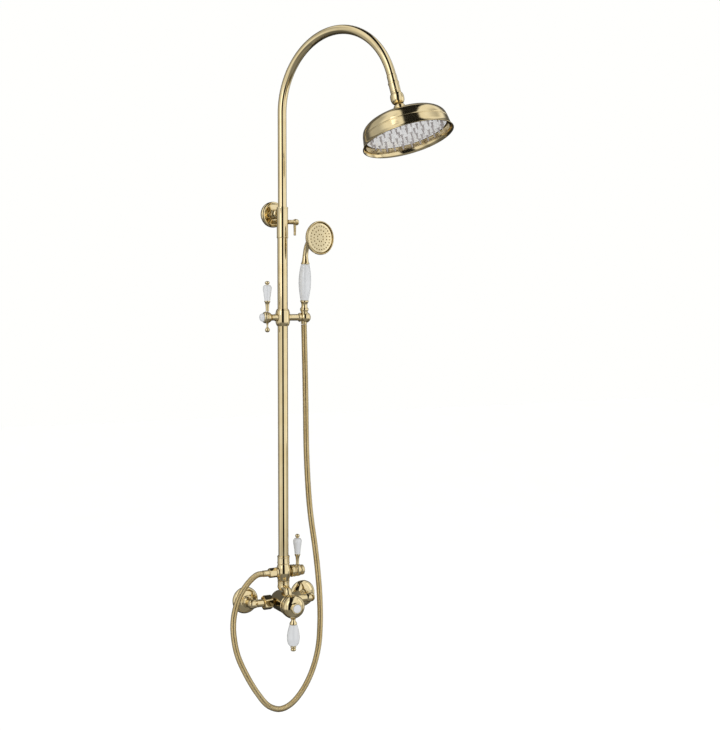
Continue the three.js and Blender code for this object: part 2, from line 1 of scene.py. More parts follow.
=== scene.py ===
"""The looks of a rainfall shower column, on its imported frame. Outlines are in millimetres."""

import math

import bmesh
import bpy
from mathutils import Matrix, Vector


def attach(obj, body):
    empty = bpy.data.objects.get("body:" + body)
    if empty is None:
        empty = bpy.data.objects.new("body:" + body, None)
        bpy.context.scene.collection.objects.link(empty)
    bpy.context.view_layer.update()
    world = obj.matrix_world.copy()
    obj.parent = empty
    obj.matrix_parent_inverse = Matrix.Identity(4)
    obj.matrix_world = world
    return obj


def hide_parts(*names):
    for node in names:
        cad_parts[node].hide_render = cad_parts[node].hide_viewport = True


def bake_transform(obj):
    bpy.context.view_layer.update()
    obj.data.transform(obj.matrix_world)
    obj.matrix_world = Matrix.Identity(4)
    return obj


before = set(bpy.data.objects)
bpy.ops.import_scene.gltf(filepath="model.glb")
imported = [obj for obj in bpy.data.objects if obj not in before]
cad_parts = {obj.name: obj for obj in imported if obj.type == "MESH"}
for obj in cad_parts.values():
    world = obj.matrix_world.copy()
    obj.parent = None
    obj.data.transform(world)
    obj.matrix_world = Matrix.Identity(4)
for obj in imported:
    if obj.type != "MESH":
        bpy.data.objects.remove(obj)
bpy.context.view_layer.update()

MM = 0.001
GAP = 0.3  # between neighbouring pieces

# ---- Places, as in the CAD ----------------------------------------------------------------------

INLET_X = 75
PIPE_OUT = 47
RISER_OUT = 59
HUB_OUT = 114
DIVERTER_Z = 72
BRACKET_Z = 916
LOCK_Z = 896
SLIDER_Z = 673
HOLDER_X = 58
ARM_TURN = 24.8
ARC_Z = 1146
ARC_R = 161
ARC_RISE = 170
ARC_END = 18
SPOUT_TILT = 17.1
ROSE_DROP = 76.6
ROSE_TILT = 18.5
PLATE_DROP = 52
HOLDER_LEAN = 3
HANDSET_TURN = 11.5
HEAD_OUT = 34
HEAD_UP = 186
HEAD_R = 39.2
BALL_R = 13.3
SEAT_X = -2.7  # the hand shower's axis, from the middle of the holder's ball
COLLAR_BOTTOM = 858
COLLAR_TOP = 930
TUBE_INSERTION = 245
NECK_ENTRY = 87

LOWER_TUBE_R = 12
LOWER_BORE_R = 11.1
UPPER_TUBE_R = 10.15
UPPER_BORE_R = 8.8
NECK_TUBE_R = 9.2
NECK_BEND_R = 6.35  # the bent neck of the hand shower

HOSE_R = 7
RIB_PITCH = 2.35
HOSE_ROUTE = [
    (55.3, -58, 656), (55.3, -59, 636), (55.5, -60, 607), (56.3, -61, 553), (57.3, -62, 477),
    (58, -63, 382), (59, -64, 334), (61, -65, 286), (64.5, -65, 238), (69.5, -66, 190),
    (78.5, -67, 128), (86, -67, 66), (90.5, -68, 3), (91.5, -68, -59), (86, -68, -121),
    (67, -68, -180), (38, -68, -225), (10, -68, -248), (-16, -68, -253.5), (-43.5, -67, -241.5),
    (-71, -67, -208), (-100, -66, -158), (-120.5, -65, -109.5), (-129.5, -65, -62),
    (-129.5, -64, -32), (-124, -63, -3), (-112, -62, 27), (-93, -61, 52.5), (-75, -60, 67.5),
    (-65, -59, 71.5), (-54, -59, 72),
]


def at(x, y, z):
    return Matrix.Translation((x, y, z))


def turn_about(axis, degrees):
    return Matrix.Rotation(math.radians(degrees), 4, axis)


ALONG_X = turn_about("Y", 90)
FROM_WALL = turn_about("X", 90)
MIRROR_X = Matrix.Scale(-1, 4, (1, 0, 0))

ARC_ANGLE = math.radians(ARC_END)
RISER = at(0, -RISER_OUT, 0) @ turn_about("Z", ARM_TURN)
SPOUT = (
    RISER
    @ at(0, -ARC_R - ARC_R * math.cos(ARC_ANGLE), ARC_Z + ARC_RISE * math.sin(ARC_ANGLE))
    @ turn_about("X", -SPOUT_TILT)
)
BALL = SPOUT @ at(0, 0, -ROSE_DROP) @ turn_about("X", SPOUT_TILT - ROSE_TILT)
DIVERTER = at(0, -RISER_OUT, DIVERTER_Z)
HUB = at(0, -HUB_OUT, 0)
SLIDER = at(0, -RISER_OUT, SLIDER_Z)
HOLDER = SLIDER @ at(HOLDER_X, 0, 0) @ turn_about("X", HOLDER_LEAN)
HANDSET = HOLDER @ at(SEAT_X, 0, 0) @ turn_about("Z", HANDSET_TURN)
HEAD = HANDSET @ at(0, -HEAD_OUT, HEAD_UP) @ turn_about("X", -HOLDER_LEAN) @ FROM_WALL

# ---- Curves and meshes --------------------------------------------------------------------------

STEPS_PER_SPAN = 7  # of a curve between two points of an outline
CORNER_SHARE = 0.42  # of the shorter side that a rounded corner may use up
NEARLY_STRAIGHT = -0.995  # cosine between a corner's two sides
NUT_BLUNT = 0.975  # how much of its full reach a nut's corner keeps
NUT_SHOULDER = 0.97  # radius where the chamfer starts, to the half width
NUT_CHAMFER = 0.55  # drop of the chamfer for its reach
TONE_BAND = (0.3, 0.7)  # of a noise, over which a value or colour changes


def spline(points, per):
    """A centripetal Catmull-Rom curve through the points, with `per` steps between two of them."""
    points = [Vector(p) for p in points]
    ends = [2 * points[0] - points[1], *points, 2 * points[-1] - points[-2]]
    made = []
    for p0, p1, p2, p3 in zip(ends, ends[1:], ends[2:], ends[3:]):
        a = max((p1 - p0).length ** 0.5, 1e-4)
        b = max((p2 - p1).length ** 0.5, 1e-4)
        c = max((p3 - p2).length ** 0.5, 1e-4)
        out = (p1 - p0) / a - (p2 - p0) / (a + b) + (p2 - p1) / b
        into = (p2 - p1) / b - (p3 - p1) / (b + c) + (p3 - p2) / c
        for i in range(per):
            t = i / per
            made.append(
                p1 * (2 * t**3 - 3 * t**2 + 1)
                + out * b * (t**3 - 2 * t**2 + t)
                + p2 * (3 * t**2 - 2 * t**3)
                + into * b * (t**3 - t**2)
            )
    return [*made, points[-1]]


def even(points, step):
    """The same line with its points a fixed step apart."""
    total = sum((b - a).length for a, b in zip(points, points[1:]))
    count = max(2, round(total / step))
    made, gone, i = [points[0].copy()], 0.0, 0
    for k in range(1, count):
        goal = total * k / count
        while gone + (points[i + 1] - points[i]).length < goal:
            gone += (points[i + 1] - points[i]).length
            i += 1
        along = (goal - gone) / (points[i + 1] - points[i]).length
        made.append(points[i].lerp(points[i + 1], along))
    return [*made, points[-1].copy()]


def rounded(before, corner, after, soft):
    """The points that round off a corner, or the corner itself where it is nearly straight."""
    back, on = before - corner, after - corner
    if min(back.length, on.length) < 1e-6:
        return [corner]
    if back.normalized().dot(on.normalized()) < NEARLY_STRAIGHT:
        return [corner]
    reach = min(soft, CORNER_SHARE * back.length, CORNER_SHARE * on.length)
    start = corner + back.normalized() * reach
    end = corner + on.normalized() * reach
    return [
        start * (1 - t) ** 2 + corner * 2 * t * (1 - t) + end * t**2
        for t in (0, 0.25, 0.5, 0.75, 1)
    ]


def refined(outline, soft):
    """An outline with curves through its three-number points, and corners rounded by `soft`."""
    closed = outline[0] == outline[-1] and outline[0][0] > 0
    line, corners, run = [], [], [outline[0]]
    for point in outline[1:]:
        run.append(point)
        if len(point) == 2:
            flat = [Vector(p[:2]) for p in run]
            line += flat[:-1] if len(flat) == 2 else spline(flat, STEPS_PER_SPAN)[:-1]
            corners.append(len(line))
            run = [point]
    line.append(Vector(outline[-1][:2]))
    last = len(line) - 1
    corners = {*corners[:-1], *((0, last) if closed else ())}
    made = []
    for i, point in enumerate(line):
        if soft == 0 or i not in corners or point.x < 1e-6:
            made.append(point)
        else:
            before, after = line[i - 1 if i else last - 1], line[i + 1 if i < last else 1]
            made += rounded(before, point, after, soft)
    return made, closed


def spaced(line, closed):
    """The line without points that fall on top of each other."""
    kept = []
    for point in line:
        if not kept or (point - kept[-1]).length > 0.004:
            kept.append(point)
    if closed and (kept[0] - kept[-1]).length < 0.02:
        kept.pop()
    return kept


def round_point(place, radius, angle, height):
    return place @ Vector((radius * math.cos(angle), radius * math.sin(angle), height))


def turned(outline, place, soft=0.5, sides=64):
    """(points, faces) of an outline of (radius, height) turned about the Z axis of `place`."""
    line, closed = refined(outline, soft)
    line = spaced(line, closed)
    points, rings, faces = [], [], []
    for radius, height in line:
        if radius < 1e-6:
            rings.append([len(points)])
            points.append(place @ Vector((0, 0, height)))
            continue
        rings.append(list(range(len(points), len(points) + sides)))
        for k in range(sides):
            points.append(round_point(place, radius, 2 * math.pi * k / sides, height))
    pairs = list(zip(rings, rings[1:]))
    if closed:
        pairs.append((rings[-1], rings[0]))
    for low, high in pairs:
        if len(low) == 1 and len(high) == 1:
            continue
        for k in range(sides):
            n = (k + 1) % sides
            if len(low) == 1:
                faces.append((low[0], high[n], high[k]))
            elif len(high) == 1:
                faces.append((low[k], low[n], high[0]))
            else:
                faces.append((low[k], low[n], high[n], high[k]))
    return points, faces


def tube(path, radii, sides=32, ends=True):
    """(points, faces) of a round bar along a line, with a radius at each point or one for all."""
    if not hasattr(radii, "__len__"):
        radii = [radii] * len(path)
    points, faces = [], []
    forward = (path[1] - path[0]).normalized()
    side = forward.orthogonal().normalized()
    for i, (centre, radius) in enumerate(zip(path, radii)):
        ahead = path[min(i + 1, len(path) - 1)] - path[max(i - 1, 0)]
        ahead.normalize()
        side = side - ahead * side.dot(ahead)
        side.normalize()
        up = ahead.cross(side)
        for k in range(sides):
            angle = 2 * math.pi * k / sides
            points.append(centre + (side * math.cos(angle) + up * math.sin(angle)) * radius)
    for i in range(len(path) - 1):
        for k in range(sides):
            n = (k + 1) % sides
            a, b = i * sides, (i + 1) * sides
            faces.append((a + k, a + n, b + n, b + k))
    if ends:
        faces.append(tuple(reversed(range(sides))))
        faces.append(tuple(range(len(points) - sides, len(points))))
    return points, faces


def hexagon(flats, low, high, bore, place):
    """A chamfered hexagonal nut along Z with a round bore."""
    sides = 96
    half = flats / 2
    crest = flats / math.sqrt(3) * NUT_BLUNT
    shoulder = half * NUT_SHOULDER
    points, faces = [], []
    for k in range(sides):
        angle = 2 * math.pi * k / sides
        off = angle % (math.pi / 3) - math.pi / 6
        reach = min(half / math.cos(off), crest)
        drop = (reach - shoulder) * NUT_CHAMFER
        rows = [(bore, low + 0.5), (bore + 0.5, low), (shoulder, low), (reach, low + drop),
                (reach, high - drop), (shoulder, high), (bore + 0.5, high), (bore, high - 0.5)]
        points += [round_point(place, radius, angle, height) for radius, height in rows]
    rows = len(rows)
    for k in range(sides):
        n = (k + 1) % sides
        for r in range(rows):
            s = (r + 1) % rows
            faces.append((k * rows + r, n * rows + r, n * rows + s, k * rows + s))
    return points, faces


def outwards(mesh):
    """Turns every face of a mesh to the outside."""
    work = bmesh.new()
    work.from_mesh(mesh)
    bmesh.ops.recalc_face_normals(work, faces=work.faces)
    work.to_mesh(mesh)
    work.free()


def as_object(name, shape):
    points, faces = shape
    mesh = bpy.data.meshes.new(name)
    mesh.from_pydata(points, [], faces)
    mesh.validate()
    made = bpy.data.objects.new(name, mesh)
    bpy.context.scene.collection.objects.link(made)
    outwards(mesh)
    return made


def together(shapes):
    """Several (points, faces) as one."""
    points, faces = [], []
    for more_points, more_faces in shapes:
        off = len(points)
        points += more_points
        faces += [tuple(off + k for k in face) for face in more_faces]
    return points, faces


def combined(obj, others, operation):
    """Joins or cuts one object with others, and keeps the result as its mesh."""
    for other in others:
        step = obj.modifiers.new("step", "BOOLEAN")
        step.operation = operation
        step.solver = "MANIFOLD"
        step.object = other
    view = bpy.context.evaluated_depsgraph_get()
    mesh = bpy.data.meshes.new_from_object(obj.evaluated_get(view))
    obj.modifiers.clear()
    old = obj.data
    obj.data = mesh
    mesh.name = obj.name
    bpy.data.meshes.remove(old)
    for other in others:
        bpy.data.objects.remove(other)


def shaded(obj, sharp):
    """Brings a mesh to metres, and smooths it but for edges sharper than `sharp` degrees."""
    mesh = obj.data
    mesh.transform(Matrix.Scale(MM, 4))
    mesh.polygons.foreach_set("use_smooth", [True] * len(mesh.polygons))
    mesh.set_sharp_from_angle(angle=math.radians(sharp))
    mesh.update()


def piece(name, body, material, shapes, stands_for, cuts=(), sharp=32):
    """A finished piece: shapes joined, cuts taken away, on its body and with its material."""
    obj = as_object(name, shapes[0])
    if len(shapes) > 1:
        combined(obj, [as_object(f"{name}_{i}", s) for i, s in enumerate(shapes[1:])], "UNION")
    if cuts:
        combined(obj, [as_object(f"{name}_cut_{i}", s) for i, s in enumerate(cuts)], "DIFFERENCE")
    shaded(obj, sharp)
    obj.data.materials.clear()
    obj.data.materials.append(material)
    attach(obj, body)
    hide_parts(*stands_for)


# ---- Materials ----------------------------------------------------------------------------------


def new_material(name):
    material = bpy.data.materials.new(name)
    material.use_nodes = True
    tree = material.node_tree
    shader = tree.nodes["Principled BSDF"]
    return material, tree, shader


def node(tree, kind, **settings):
    made = tree.nodes.new(kind)
    for key, value in settings.items():
        if key in made.inputs:
            made.inputs[key].default_value = value
        else:
            setattr(made, key.lower().replace(" ", "_"), value)
    return made


def noise(tree, scale, detail=4.0, rough=0.55, stretch=None, turn=None):
    """A noise over the object's own space, stretched and turned where that is given."""
    where = node(tree, "ShaderNodeTexCoord").outputs["Object"]
    if turn is not None:
        first = node(tree, "ShaderNodeMapping")
        first.inputs["Rotation"].default_value = turn
        tree.links.new(where, first.inputs["Vector"])
        where = first.outputs["Vector"]
    if stretch is not None:
        second = node(tree, "ShaderNodeMapping")
        second.inputs["Scale"].default_value = stretch
        tree.links.new(where, second.inputs["Vector"])
        where = second.outputs["Vector"]
    texture = node(tree, "ShaderNodeTexNoise", Scale=scale, Detail=detail, Roughness=rough)
    tree.links.new(where, texture.inputs["Vector"])
    return texture.outputs["Fac"]


def spread(tree, value, low, high):
    """A noise's tone band, spread over low to high."""
    step = node(tree, "ShaderNodeMapRange")
    step.inputs["From Min"].default_value, step.inputs["From Max"].default_value = TONE_BAND
    step.inputs["To Min"].default_value = low
    step.inputs["To Max"].default_value = high
    tree.links.new(value, step.inputs["Value"])
    return step.outputs["Result"]


def tinted(tree, value, low, high):
    """A colour between two, by a noise's tone band."""
    ramp = node(tree, "ShaderNodeValToRGB")
    for stop, place, colour in zip(ramp.color_ramp.elements, TONE_BAND, (low, high)):
        stop.position = place
        stop.color = (*colour, 1)
    tree.links.new(value, ramp.inputs["Fac"])
    return ramp.outputs["Color"]


def bumped(tree, shader, value, strength, distance):
    bump = node(tree, "ShaderNodeBump", Strength=strength, Distance=distance)
    tree.links.new(value, bump.inputs["Height"])
    tree.links.new(bump.outputs["Normal"], shader.inputs["Normal"])


GRAIN = 420.0  # scale of the grain on moulded pieces
GOLD_LOW = (0.76, 0.615, 0.345)
GOLD_HIGH = (0.83, 0.70, 0.43)


def metal(name, low, high, rough, wave=0.010, streak=None, turn=None):
    """Polished metal: a tone that drifts a little, fine haze in patches and a faint waviness."""
    material, tree, shader = new_material(name)
    shader.inputs["Metallic"].default_value = 1.0
    tree.links.new(tinted(tree, noise(tree, 38.0), low, high), shader.inputs["Base Color"])
    haze = noise(tree, 160.0, 6.0, 0.65, stretch=streak, turn=turn)
    tree.links.new(spread(tree, haze, rough[0], rough[1]), shader.inputs["Roughness"])
    bumped(tree, shader, noise(tree, 70.0, 2.0, stretch=streak, turn=turn), wave, 0.00012)
    return material


def glazed(name, low, high, rough, coat):
    """Fired porcelain: a milky body with a clear glaze over it."""
    material, tree, shader = new_material(name)
    tree.links.new(tinted(tree, noise(tree, 55.0, 5.0), low, high), shader.inputs["Base Color"])
    tree.links.new(spread(tree, noise(tree, 240.0, 3.0), *rough), shader.inputs["Roughness"])
    shader.inputs["Coat Weight"].default_value = coat
    shader.inputs["Coat Roughness"].default_value = 0.04
    shader.inputs["IOR"].default_value = 1.52
    bumped(tree, shader, noise(tree, 30.0, 0.0), 0.01, 0.00003)
    return material


def moulded(name, low, high, rough):
    """Moulded plastic or rubber: a fine grain with slight mottling."""
    material, tree, shader = new_material(name)
    tree.links.new(tinted(tree, noise(tree, 120.0, 6.0), low, high), shader.inputs["Base Color"])
    tree.links.new(spread(tree, noise(tree, GRAIN, 4.0), *rough), shader.inputs["Roughness"])
    bumped(tree, shader, noise(tree, GRAIN * 2, 3.0), 0.08, 0.0002)
    return material


gold = metal("gold_polished", GOLD_LOW, GOLD_HIGH, (0.04, 0.07), wave=0.002)
gold_bell = metal(
    "gold_bell", GOLD_LOW, GOLD_HIGH, (0.07, 0.16), wave=0.004, streak=(0.16, 0.16, 9.0),
    turn=(math.radians(ROSE_TILT), 0, 0),
)
gold_face = metal("gold_face", (0.74, 0.62, 0.38), (0.82, 0.71, 0.46), (0.10, 0.18))
gold_hose = metal("gold_ribs", (0.70, 0.56, 0.30), (0.80, 0.66, 0.39), (0.12, 0.24), wave=0.02)
brass = metal("brass_turned", (0.52, 0.38, 0.16), (0.64, 0.48, 0.22), (0.28, 0.42), wave=0.05)
porcelain = glazed("porcelain_glazed", (0.62, 0.63, 0.65), (0.65, 0.66, 0.68), (0.07, 0.12), 1.0)
# The nozzles get the plate's silicone tinted darker: painted shade among the nozzles, which are one
# piece with the plate.
silicone = moulded("silicone_nozzles_shaded", (0.40, 0.37, 0.37), (0.48, 0.45, 0.45), (0.24, 0.36))
silicone_plate = moulded("silicone_face", (0.76, 0.76, 0.77), (0.82, 0.82, 0.83), (0.24, 0.36))
nylon = moulded("nylon_moulded", (0.74, 0.72, 0.66), (0.82, 0.80, 0.74), (0.42, 0.56))
rubber = moulded("rubber_moulded", (0.011, 0.011, 0.011), (0.03, 0.03, 0.03), (0.62, 0.8))

# ---- Camera, light and floor --------------------------------------------------------------------

CAMERA_AT = (-1.15221, -2.65018, 0.70247)
CAMERA_AZIMUTH = math.degrees(math.atan2(CAMERA_AT[1], CAMERA_AT[0]))

scene = bpy.context.scene
scene.view_settings.view_transform = "Standard"
camera_data = bpy.data.cameras.new("camera")
camera_data.lens = 59.54
camera_data.sensor_width = 36
camera = bpy.data.objects.new("camera", camera_data)
camera.location = CAMERA_AT
camera.rotation_euler = (math.radians(87.148), 0, math.radians(-27.634))
scene.collection.objects.link(camera)
scene.camera = camera


def studio():
    """A white room, where only reflections see the grey panels, black flag and dark ground."""
    world = bpy.data.worlds.new("studio")
    scene.world = world
    world.use_nodes = True
    tree = world.node_tree
    background = tree.nodes["Background"]
    way = node(tree, "ShaderNodeTexCoord").outputs["Generated"]
    split = node(tree, "ShaderNodeSeparateXYZ")
    tree.links.new(way, split.inputs["Vector"])

    def maths(kind, first, second):
        step = node(tree, "ShaderNodeMath", operation=kind)
        for i, value in enumerate((first, second)):
            if hasattr(value, "links"):
                tree.links.new(value, step.inputs[i])
            else:
                step.inputs[i].default_value = value
        return step.outputs["Value"]

    def stepped(value, low, high, start, end):
        step = node(tree, "ShaderNodeMapRange", interpolation_type="SMOOTHSTEP")
        for i, number in enumerate((low, high, start, end)):
            step.inputs[i + 1].default_value = number
        tree.links.new(value, step.inputs["Value"])
        return step.outputs["Result"]

    def towards(turn):
        """How far a direction points along a level one, given in degrees from the camera's own."""
        angle = math.radians(CAMERA_AZIMUTH + turn)
        dot = node(tree, "ShaderNodeVectorMath", operation="DOT_PRODUCT")
        tree.links.new(way, dot.inputs[0])
        dot.inputs[1].default_value = (math.cos(angle), math.sin(angle), 0)
        return dot.outputs["Value"]

    height = split.outputs["Z"]
    azimuth = maths("ARCTAN2", split.outputs["Y"], split.outputs["X"])
    light = None
    for turn, half, soft, left in PANELS:
        middle = math.radians((CAMERA_AZIMUTH + turn + 180) % 360 - 180)
        away = maths("WRAP", maths("SUBTRACT", azimuth, middle), math.pi)
        away.node.inputs[2].default_value = -math.pi
        away = maths("ABSOLUTE", away, 0)
        panel = stepped(away, math.radians(half), math.radians(half + soft), left, 1.0)
        light = panel if light is None else maths("MULTIPLY", light, panel)
    # These panels stop short of the ceiling, which stays white.
    high = stepped(height, *PANEL_TOP, 0.0, 1.0)
    blend = node(tree, "ShaderNodeMix", data_type="FLOAT")
    tree.links.new(high, blend.inputs["Factor"])
    tree.links.new(light, blend.inputs["A"])
    blend.inputs["B"].default_value = 1.0
    light = blend.outputs["Result"]
    # The black flag rises in front and runs on over the top.
    across = maths("ABSOLUTE", towards(FLAG_TURN + 90), 0)
    flag = stepped(across, *FLAG_SIDE, FLAG_DARK, 0.0)
    flag = maths("MULTIPLY", flag, stepped(towards(FLAG_TURN), *FLAG_BACK, 0.0, 1.0))
    flag = maths("MULTIPLY", flag, stepped(height, *FLAG_FOOT, 0.0, 1.0))
    light = maths("MULTIPLY", light, maths("SUBTRACT", 1.0, flag))
    light = maths("MULTIPLY", light, stepped(height, *GROUND, GROUND_LIGHT, 1.0))

    path = node(tree, "ShaderNodeLightPath")
    seen = node(tree, "ShaderNodeMix", data_type="FLOAT")
    tree.links.new(path.outputs["Is Glossy Ray"], seen.inputs["Factor"])
    seen.inputs["A"].default_value = 1.0
    tree.links.new(light, seen.inputs["B"])
    tree.links.new(seen.outputs["Result"], background.inputs["Strength"])
    background.inputs["Color"].default_value = (1.0, 1.0, 0.985, 1)


# Upright grey panels: degrees from the camera's own direction (positive to its right), half width,
# softness, and how much of the light each keeps.
PANELS = [
    (-46, 3, 9, 0.66),
    (-100, 8, 24, 0.50),
    (92, 8, 22, 0.50),
    (-150, 20, 20, 0.12),
    (158, 14, 20, 0.12),
]
# Each pair is a band of a direction's height or of how far it points one way, over which the
# light changes.
PANEL_TOP = (0.62, 0.86)
FLAG_TURN = 2
FLAG_SIDE = (0.26, 0.36)
FLAG_BACK = (-0.75, -0.45)
FLAG_FOOT = (-0.45, -0.30)
FLAG_DARK = 0.99
GROUND = (-0.46, -0.22)
GROUND_LIGHT = 0.26
studio()


def area_light(name, place, aim, size, power):
    data = bpy.data.lights.new(name, "AREA")
    data.shape = "RECTANGLE"
    data.size, data.size_y = size
    data.energy = power
    light = bpy.data.objects.new(name, data)
    light.location = place
    light.rotation_euler = (Vector(aim) - Vector(place)).to_track_quat("-Z", "Y").to_euler()
    scene.collection.objects.link(light)


area_light("key", (-2.6, -1.6, 2.0), (0, -0.1, 0.6), (1.0, 2.2), 9)
area_light("fill", (2.4, -1.4, 1.0), (0, -0.1, 0.3), (1.0, 2.2), 5)

FLOOR_LEVEL = -0.46  # metres, low enough for the loop when the holder is at its lowest
FLOOR_REACH = 9.0
CORNERS = ((-1, -1), (1, -1), (1, 1), (-1, 1))


def floor():
    """A white ground, which mirror-like pieces don't reflect."""
    mesh = bpy.data.meshes.new("floor")
    mesh.from_pydata(
        [(x * FLOOR_REACH, y * FLOOR_REACH, FLOOR_LEVEL) for x, y in CORNERS], [], [(0, 1, 2, 3)]
    )
    made = bpy.data.objects.new("floor", mesh)
    scene.collection.objects.link(made)
    material, tree, shader = new_material("floor_white")
    tone = tinted(tree, noise(tree, 6.0), (0.93, 0.93, 0.925), (0.95, 0.95, 0.945))
    tree.links.new(tone, shader.inputs["Base Color"])
    shader.inputs["Roughness"].default_value = 0.9
    shader.inputs["Specular IOR Level"].default_value = 0.0
    mesh.materials.append(material)
    shader.inputs["Emission Color"].default_value = (1, 1, 1, 1)
    shader.inputs["Emission Strength"].default_value = 0.07
    made.visible_glossy = False


floor()

# ---- Hose ---------------------------------------------------------------------------------------

hose_line = even(spline(HOSE_ROUTE, 24), RIB_PITCH / 4)
RIB = [0.88, 0.985, 1.0, 0.985]  # radius of the rings along one rib
HOSE_SEAMS = [550, 460, 370]  # heights where the hose is cut into pieces


def seam_index(height):
    """The ring in a groove at that height on the hose's long hanging run."""
    for i, point in enumerate(hose_line):
        if point.z < height:
            return i - i % 4
    return 0


def hose_piece(name, first, last):
    """A ribbed stretch of the hose."""
    path = hose_line[first : last + 1]
    radii = [HOSE_R * RIB[(first + i) % 4] for i in range(len(path))]
    radii[0] = radii[-1] = HOSE_R * RIB[0]
    obj = as_object(name, tube(path, radii, sides=20))
    shaded(obj, 60)
    obj.data.materials.append(gold_hose)
    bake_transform(obj)
    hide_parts("shower_hose")


def build_hose():
    cuts = [0, *[seam_index(h) for h in HOSE_SEAMS], len(hose_line) - 1]
    hose_piece("hose_at_handset", cuts[0], cuts[1])
    hose_piece("hose_below_holder", cuts[1], cuts[2])
    hose_piece("hose_below_slider", cuts[2], cuts[3])
    hose_piece("hose_loop", cuts[3], cuts[4])


# ---- Inlets -------------------------------------------------------------------------------------


def build_inlet(side, flip):
    at_inlet = flip @ at(INLET_X, 0, 0) @ FROM_WALL
    along = flip @ at(0, -PIPE_OUT, 0) @ ALONG_X
    flange = turned([
        (10.6, 0), (31.5, 0), (31.9, 1.6), (31.8, 3.6, 1), (31, 6.6, 1), (28.5, 10.2, 1),
        (24, 13.2, 1), (18, 15.5, 1), (12.6, 16.5), (10.6, 16.5), (10.6, 0),
    ], at_inlet, soft=0.8, sides=96)
    piece(f"{side}_wall_flange_fine", "root", gold, [flange], [f"{side}_wall_flange"])
    neck = turned([
        (0, -12), (10.2, -12), (10.2, 17), (13.6, 17), (14.4, 18.2, 1), (14.4, 20.8, 1), (13.6, 22),
        (12.1, 22.6), (12.1, 25.8), (10.4, 27.6), (10.4, PIPE_OUT), (0, PIPE_OUT),
    ], at_inlet, soft=0.7)
    pipe = turned([
        (0, 41), (12.2, 41), (12.2, 42.7), (9.1, 42.7), (9.1, 64), (10.1, 67.5, 1), (10.8, 71.5, 1),
        (10.9, 76.5, 1), (9.9, 81.2, 1), (6.6, 84.8, 1), (3.0, 85.9, 1), (0, 86),
    ], along, soft=0.4)
    piece(f"{side}_elbow_fine", "root", gold, [neck, pipe], [f"{side}_elbow"])
    nut = hexagon(31, 27.3, 47.3, 9.5, along)
    thread = turned([(0, 27), (12.55, 27), (12.55, 43.3), (0, 43.3)], along, soft=0)
    piece(f"{side}_union_nut_fine", "root", gold, [nut], [f"{side}_union_nut"], cuts=[thread])
    tail = turned([
        (0, 18.3), (9, 18.3), (9, 31), (12.1, 31), (12.1, 40.6), (0, 40.6),
    ], along, soft=0.6, sides=48)
    piece(f"{side}_union_tail_fine", "root", brass, [tail], [f"{side}_union_tail"])


# ---- Valve --------------------------------------------------------------------------------------


def neck_line():
    return spline([
        (0, -RISER_OUT, 40), (0, -RISER_OUT - 4, 36), (0, -RISER_OUT - 14, 33),
        (0, -NECK_ENTRY + 4, 30), (0, -NECK_ENTRY, 19),
    ], 10)


def build_valve():
    shell = turned([
        (0, 37), (23.9, 37), (24.5, 38), (24.5, 88), (24.5, 96.2), (24.0, 97), (16, 97), (16, 50),
        (0, 50),
    ], FROM_WALL, soft=0.7, sides=96)
    sockets = [
        turned([(0, 17.9), (9.35, 17.9), (9.35, 30), (0, 30)],
               flip @ at(0, -PIPE_OUT, 0) @ ALONG_X, 0, 48)
        for flip in (Matrix.Identity(4), MIRROR_X)
    ]
    mouth = tube(neck_line(), NECK_TUBE_R + GAP, 48)
    piece("valve_body_fine", "root", gold, [shell], ["valve_body"], cuts=[*sockets, mouth])
    cap = turned([
        (0, 31), (20.4, 31), (22.6, 32.2, 1), (23.6, 34.4), (23.6, 36.7), (0, 36.7),
    ], FROM_WALL, soft=0.5, sides=96)
    piece("valve_rear_cap_fine", "root", gold, [cap], ["valve_rear_cap"])
    ring = turned([
        (14, 97.3), (25.5, 97.3), (26.2, 98.1, 1), (26.2, 98.9, 1), (25.5, 99.7), (14, 99.7),
        (14, 97.3),
    ], FROM_WALL, soft=0.2, sides=96)
    piece("valve_stop_ring_fine", "root", gold, [ring], ["valve_stop_ring"])
    collar = turned([
        (0, 27.5), (6, 27.7), (10.4, 29.0, 1), (13.0, 31.6, 1), (14.2, 35.2, 1), (14.3, 38.6),
        (13.8, 39.4), (13.8, 47.4), (14.3, 48.2), (14.3, 50.6), (11.4, 50.6), (11.4, 45.6),
        (0, 45.6),
    ], at(0, -RISER_OUT, 0), soft=0.5)
    neck = tube(neck_line(), NECK_TUBE_R, 48)
    piece("swan_neck_fine", "root", gold, [collar, neck], ["swan_neck"])


